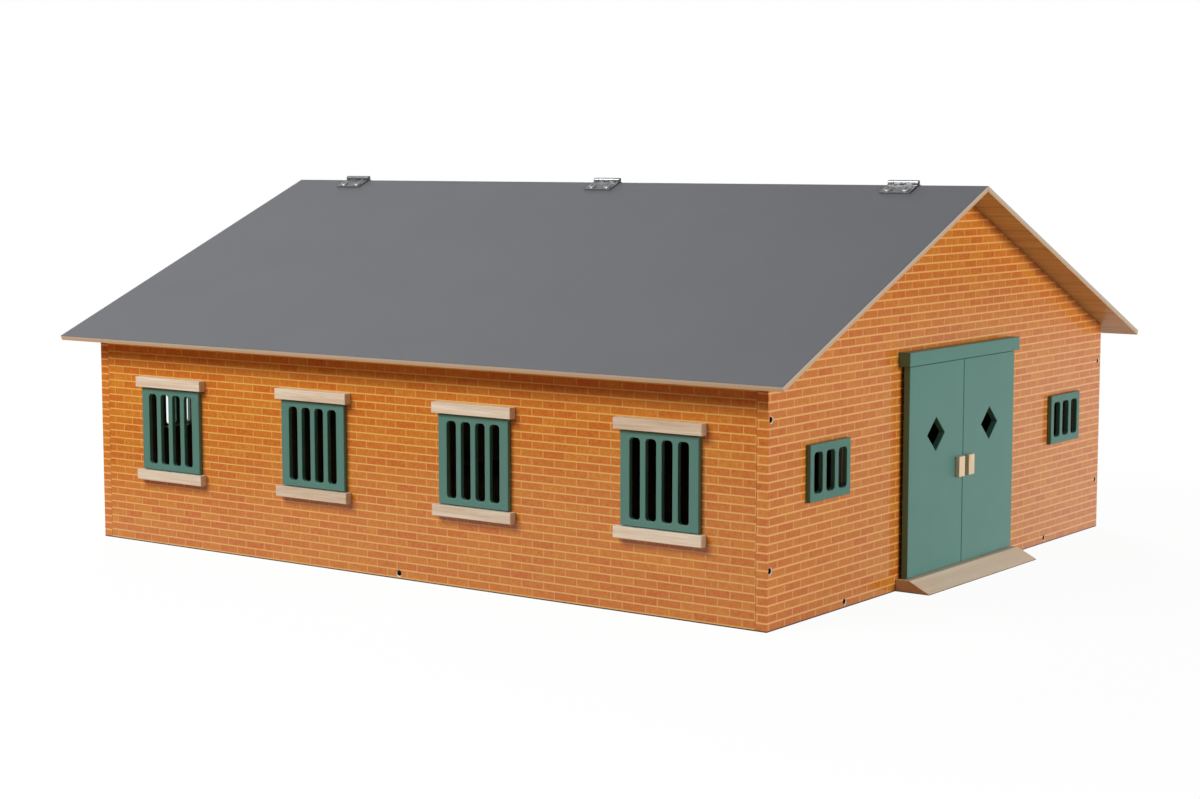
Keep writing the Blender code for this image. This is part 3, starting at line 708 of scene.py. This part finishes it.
green_paint = paint_finish("satin_green_paint", "538177", "4b7970")
door_paint = paint_finish("satin_green_door_paint", "5c8b82", "54837a")
dress(green_paint, *[f"front_window_{n}_grille" for n in WINDOWS])
dress(green_paint, *[f"{end}_gable_{side}_grille" for end in ("door", "far") for side in ("front", "rear")])
dress(door_paint, "door_header", "left_door", "right_door")

# %% [markdown]
# The hinges are pressed steel with nickel plating, their pins are drawn wire, and their screws are zinc
# plated. Rolling and drawing leave fine lines, and plating copies them, so the roughness varies in streaks.
# Nickel on smooth sheet and bare drawn wire give crisp glints, while zinc is duller and spreads them. A
# metal's colour is its reflection, which is why the base colours are pale and the default IOR stays.

# %% Hinge steel
STEEL_LINE_LENGTH = 14 * MM
STEEL_LINE_WIDTH = 0.25 * MM
STEEL_CREST = 0.004 * MM


def steel_finish(name, colour, roughness_low, roughness_high):
    """Steel with fine lines along X, which is the length of a hinge."""
    finish, tree, shader, place = start_finish(name, roughness=roughness_low, metallic=1.0)
    lines = grain(tree, place, STEEL_LINE_LENGTH, STEEL_LINE_WIDTH, along="X")
    rough = soft_step(tree, lines, 0.0, 1.0, low=roughness_low, high=roughness_high)
    tree.links.new(rough, shader.inputs["Roughness"])
    shader.inputs["Base Color"].default_value = linear(colour)
    bump = add_node(tree, "ShaderNodeBump", {"Height": lines, "Distance": STEEL_CREST})
    tree.links.new(bump.outputs["Normal"], shader.inputs["Normal"])
    return finish


hinge_steel = steel_finish("nickel_plated_steel", "b2b3b5", 0.2, 0.42)
pin_steel = steel_finish("drawn_steel_wire", "b4b4b2", 0.2, 0.4)
screw_steel = steel_finish("zinc_plated_screw_steel", "c4c4c2", 0.4, 0.55)
HINGES = ("far_hinge", "middle_hinge", "near_hinge")
dress(hinge_steel, *[f"{hinge}_{leaf}" for hinge in HINGES for leaf in ("rear_leaf", "front_leaf")])
dress(pin_steel, *[f"{hinge}_pin" for hinge in HINGES])
dress(pin_steel, *[f"{side}_door_{end}_pin" for side in ("left", "right") for end in ("bottom", "top")])

# %% [markdown]
# A screw head is a turned part, so its half outline is spun round its axis into a closed mesh. Then a cross
# of two bars is cut out of it with a Boolean, as the press tool sinks it into the real one. The bars could be
# modelled into the outline's mesh by hand, but a cut is one step and fits any head. The cut leaves crisp
# edges, and only faces that meet at a low angle are shaded smooth.

# %% Turned heads with a cross recess
RECESS_ARM = 3.4 * MM
RECESS_WIDTH = 0.75 * MM
RECESS_DEPTH = 0.9 * MM
SPIN_STEPS = 40
SAME_POINT = 0.001 * MM
CRISP_ANGLE = math.radians(35)


def new_piece(name, mesh, finish):
    """Make an object of a mesh and put it in the scene."""
    piece = bpy.data.objects.new(name, mesh)
    mesh.materials.clear()
    mesh.materials.append(finish)
    bpy.context.scene.collection.objects.link(piece)
    return piece


def turned_mesh(name, outline):
    """Spin a half outline of (radius, height) points round Z into a closed mesh."""
    shape = bmesh.new()
    points = [shape.verts.new((radius, 0, height)) for radius, height in outline]
    edges = [shape.edges.new(pair) for pair in zip(points, points[1:])]
    bmesh.ops.spin(
        shape,
        geom=points + edges,
        cent=(0, 0, 0),
        axis=(0, 0, 1),
        angle=2 * math.pi,
        steps=SPIN_STEPS,
        use_merge=True,
    )
    bmesh.ops.remove_doubles(shape, verts=shape.verts, dist=SAME_POINT)
    bmesh.ops.recalc_face_normals(shape, faces=shape.faces)
    mesh = bpy.data.meshes.new(name)
    shape.to_mesh(mesh)
    shape.free()
    mesh.shade_smooth()
    return mesh


def bar_mesh(length, width, depth):
    """A bar that is centred on the origin."""
    shape = bmesh.new()
    bmesh.ops.create_cube(shape, size=1.0)
    bmesh.ops.scale(shape, verts=shape.verts, vec=(length, width, depth))
    mesh = bpy.data.meshes.new("recess_bar")
    shape.to_mesh(mesh)
    shape.free()
    return mesh


def cut_cross(mesh, top, finish):
    """Sink a cross recess into a head whose highest point is at top, and return the cut mesh."""
    head = new_piece("uncut_head", mesh, finish)
    bars = []
    for length, width in ((RECESS_ARM, RECESS_WIDTH), (RECESS_WIDTH, RECESS_ARM)):
        bar = new_piece("recess_bar", bar_mesh(length, width, 2 * RECESS_DEPTH), finish)
        bar.location.z = top
        bars.append(bar)
        cut = head.modifiers.new("cross", "BOOLEAN")
        cut.object = bar
    bpy.context.view_layer.update()
    evaluated = head.evaluated_get(bpy.context.evaluated_depsgraph_get())
    cut_mesh = bpy.data.meshes.new_from_object(evaluated)
    cut_mesh.set_sharp_from_angle(angle=CRISP_ANGLE)
    for spent in (head, *bars):
        bpy.data.objects.remove(spent)
    return cut_mesh


print("recess, mm:", [round(size / MM, 2) for size in (RECESS_ARM, RECESS_WIDTH, RECESS_DEPTH)])

# %% [markdown]
# Two pan-head screws hold each hinge leaf. A pan head is a low dome over a short upright shoulder. A quarter
# of an ellipse, sampled in a few steps, makes the dome's half outline.

# %% Pan-head screw
HEAD_RADIUS = 3.7 * MM
HEAD_HEIGHT = 1.4 * MM
HEAD_SHOULDER = 0.5 * MM
DOME_STEPS = 8


def pan_head_mesh():
    """A low dome over an upright shoulder, with its cross recess."""
    rise = HEAD_HEIGHT - HEAD_SHOULDER
    dome = [
        (HEAD_RADIUS * math.sin(angle), HEAD_SHOULDER + rise * math.cos(angle))
        for angle in (step / DOME_STEPS * math.pi / 2 for step in range(DOME_STEPS + 1))
    ]
    outline = dome + [(HEAD_RADIUS, 0.0), (0.0, 0.0)]
    return cut_cross(turned_mesh("pan_head", outline), HEAD_HEIGHT, screw_steel)


pan_head = pan_head_mesh()
print("faces on a pan head:", len(pan_head.polygons))

# %% [markdown]
# Each screw stands square on its leaf, over a hole. A leaf's outer face is found by looking for the leaf's
# highest point away from the barrel, measured square to the slope. Screws on the front leaves ride with the
# lifting roof half, and the others stay with the house. No two are turned alike, as a screwdriver leaves
# them.

# %% Screws on the hinge leaves
SCREW_SPACING = 16 * MM
SCREW_DOWN_SLOPE = 12 * MM
BARREL_CLEAR = 5 * MM
TURN_STEP = math.radians(37)


def seat_screw(name, mesh, seat, up, turn, body="house", finish=screw_steel):
    """Stand a screw on its seat, with its axis along up, and hang it on the body that it holds."""
    screw = new_piece(name, mesh, finish)
    stand = up.to_track_quat("Z", "Y").to_matrix().to_4x4()
    screw.matrix_world = Matrix.Translation(seat) @ stand @ Matrix.Rotation(turn, 4, "Z")
    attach(screw, body)


screw_count = 0
for hinge in HINGES:
    low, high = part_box(f"{hinge}_front_leaf")
    middle = (low.x + high.x) / 2
    for leaf, flip, body in (("front_leaf", 1, "roof_lid"), ("rear_leaf", -1, "house")):
        up = Vector((0, flip * ROOF_UP.y, ROOF_UP.z))
        down_slope = Vector((0, flip * ROOF_DOWN_SLOPE.y, ROOF_DOWN_SLOPE.z))
        corners = [v.co - ridge_axis for v in nodes[f"{hinge}_{leaf}"].data.vertices]
        face = max(corner.dot(up) for corner in corners if corner.dot(down_slope) > BARREL_CLEAR)
        for number, side in ((1, -1), (2, 1)):
            across = Vector((middle + side * SCREW_SPACING / 2, ridge_axis.y, ridge_axis.z))
            seat = across + down_slope * SCREW_DOWN_SLOPE + up * face
            screw_count += 1
            turn = screw_count * TURN_STEP
            seat_screw(f"{hinge}_{leaf}_screw_{number}", pan_head, seat, up, turn, body)
print("hinge screws:", screw_count)

# %% [markdown]
# The walls are held to each other and to the floor board by black countersunk screws. Phosphated steel is
# dark grey and dull, because its crystals scatter what they reflect, so each screw reads as a black dot with
# the pale rim of its countersink round it. The head has a thin edge over a cone.

# %% Countersunk screw
SUNK_RADIUS = 2.1 * MM
SUNK_EDGE = 0.25 * MM
SUNK_CONE = 1.3 * MM
SUNK_SHANK = 1.0 * MM
CRYSTAL = 0.3 * MM
PHOSPHATE_GREYS = ((0.0, "1b1a19"), (1.0, "3c3937"))

black_steel, tree, shader, place = start_finish("phosphated_steel", roughness=0.55, metallic=1.0)
crystals = add_node(tree, "ShaderNodeTexNoise", {"Vector": place, "Scale": 1 / CRYSTAL, "Detail": 3.0})
tree.links.new(colour_ramp(tree, crystals.outputs["Fac"], PHOSPHATE_GREYS), shader.inputs["Base Color"])


def sunk_head_mesh():
    """A flat head with a thin edge and a cone under it, with its cross recess."""
    outline = [
        (0.0, 0.0),
        (SUNK_RADIUS - SUNK_EDGE, 0.0),
        (SUNK_RADIUS, -SUNK_EDGE),
        (SUNK_SHANK, -SUNK_CONE),
        (0.0, -SUNK_CONE),
    ]
    return cut_cross(turned_mesh("sunk_head", outline), 0.0, black_steel)


sunk_head = sunk_head_mesh()
print("faces on a countersunk head:", len(sunk_head.polygons))

# %% [markdown]
# The construction model already has the screws' pockets, so their places needn't be typed again. The script
# finds each pocket's flat floor by its depth under the wall's face, gathers the corners that lie close
# together, and stands a head in their middle, a little under the pocket's mouth.

# %% Screws in the walls
POCKET_DEPTH = 3.0 * MM
POCKET_WIDTH = 6.5 * MM
DEPTH_TOLERANCE = 0.05 * MM
SUNK_BELOW_FACE = 1.5 * MM
OUTWARDS = {
    "front_wall": Vector((0, -1, 0)),
    "rear_wall": Vector((0, 1, 0)),
    "door_gable_wall": Vector((1, 0, 0)),
    "far_gable_wall": Vector((-1, 0, 0)),
}


def pocket_centres(node, outward):
    """The middle of each screw pocket's mouth on a wall, found from the vertices on the pocket floors."""
    corners = [v.co for v in nodes[node].data.vertices]
    face = max(corner.dot(outward) for corner in corners)
    pockets = []
    for corner in corners:
        if abs(face - corner.dot(outward) - POCKET_DEPTH) > DEPTH_TOLERANCE:
            continue
        near = [pocket for pocket in pockets if (pocket[0] - corner).length < POCKET_WIDTH]
        if near:
            near[0].append(corner)
        else:
            pockets.append([corner])
    return [sum(pocket, Vector()) / len(pocket) + outward * POCKET_DEPTH for pocket in pockets]


sunk_count = 0
for wall, outward in OUTWARDS.items():
    for number, mouth in enumerate(pocket_centres(wall, outward), start=1):
        sunk_count += 1
        seat = mouth - outward * SUNK_BELOW_FACE
        turn = sunk_count * TURN_STEP
        seat_screw(f"{wall}_screw_{number}", sunk_head, seat, outward, turn, finish=black_steel)
print("wall screws:", sunk_count)
